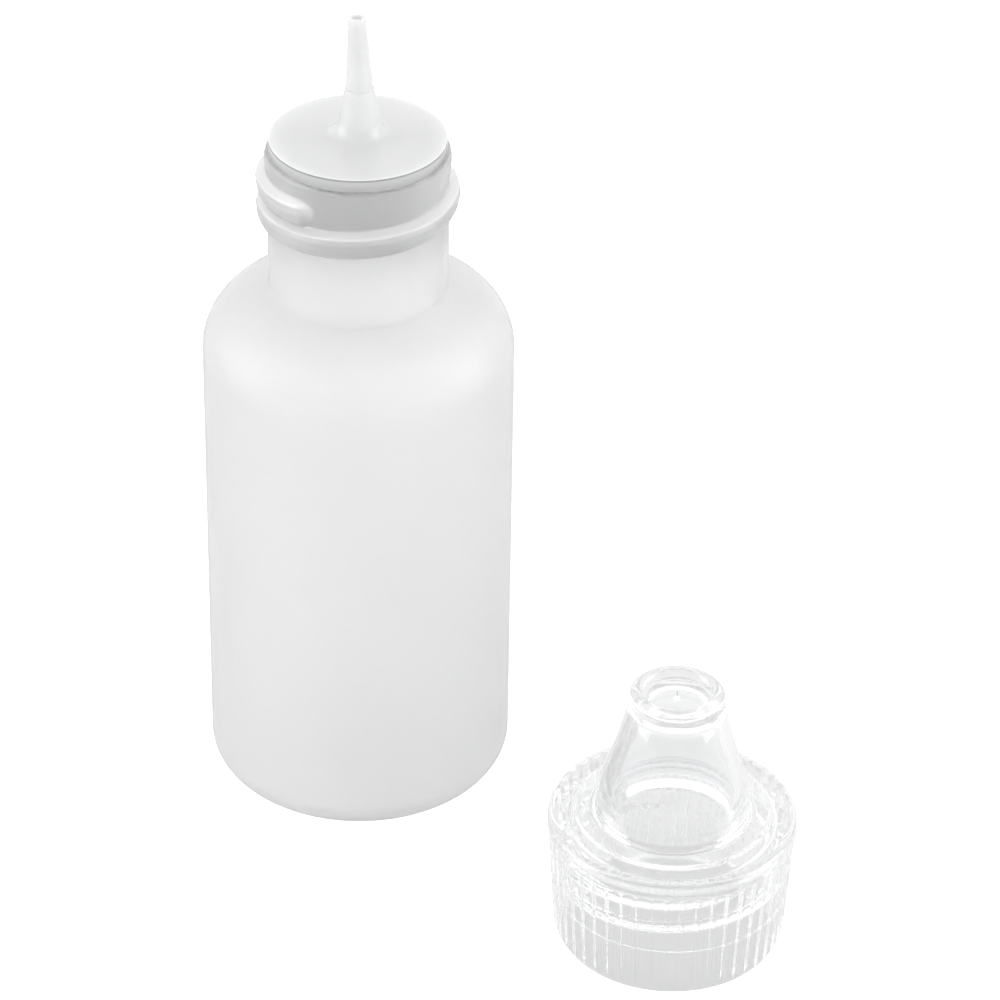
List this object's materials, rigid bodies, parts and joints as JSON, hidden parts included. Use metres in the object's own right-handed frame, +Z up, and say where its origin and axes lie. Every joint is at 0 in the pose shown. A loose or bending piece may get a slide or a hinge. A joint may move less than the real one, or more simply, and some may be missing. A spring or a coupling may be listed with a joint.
{
  "type": "dropper bottle",
  "caption": "Squeeze dropper bottle with a threaded neck, a press-in dropping tip with a slim tapered spout, and a clear ribbed screw cap standing beside it.",
  "frame": {"origin": "centre of the bottle's flat base, on the surface it stands on", "axes": "+Z up along the bottle's axis; -Y is the front; the cap stands to the front right, towards +X and -Y"},
  "size_m": [0.0442, 0.0421, 0.0637],
  "materials": {
    "bottle_plastic": "translucent low-density polyethylene, satin with soft highlights",
    "tip_plastic": "natural polyethylene, semi-gloss",
    "cap_plastic": "clear polystyrene, glossy"
  },
  "bodies": {
    "bottle": {"bottle": "bottle_plastic"},
    "tip": {"dropper_tip": "tip_plastic"},
    "cap": {"screw_cap": "cap_plastic"}
  },
  "joints": [
    {"name": "tip_pull", "type": "slide", "parent": "bottle", "child": "tip", "axis": [0, 0, 1], "range_m": [0, 0.015]},
    {"name": "cap_lift", "type": "slide", "parent": "bottle", "child": "cap", "axis": [0, 0, 1], "range_m": [0, 0.08]}
  ]
}
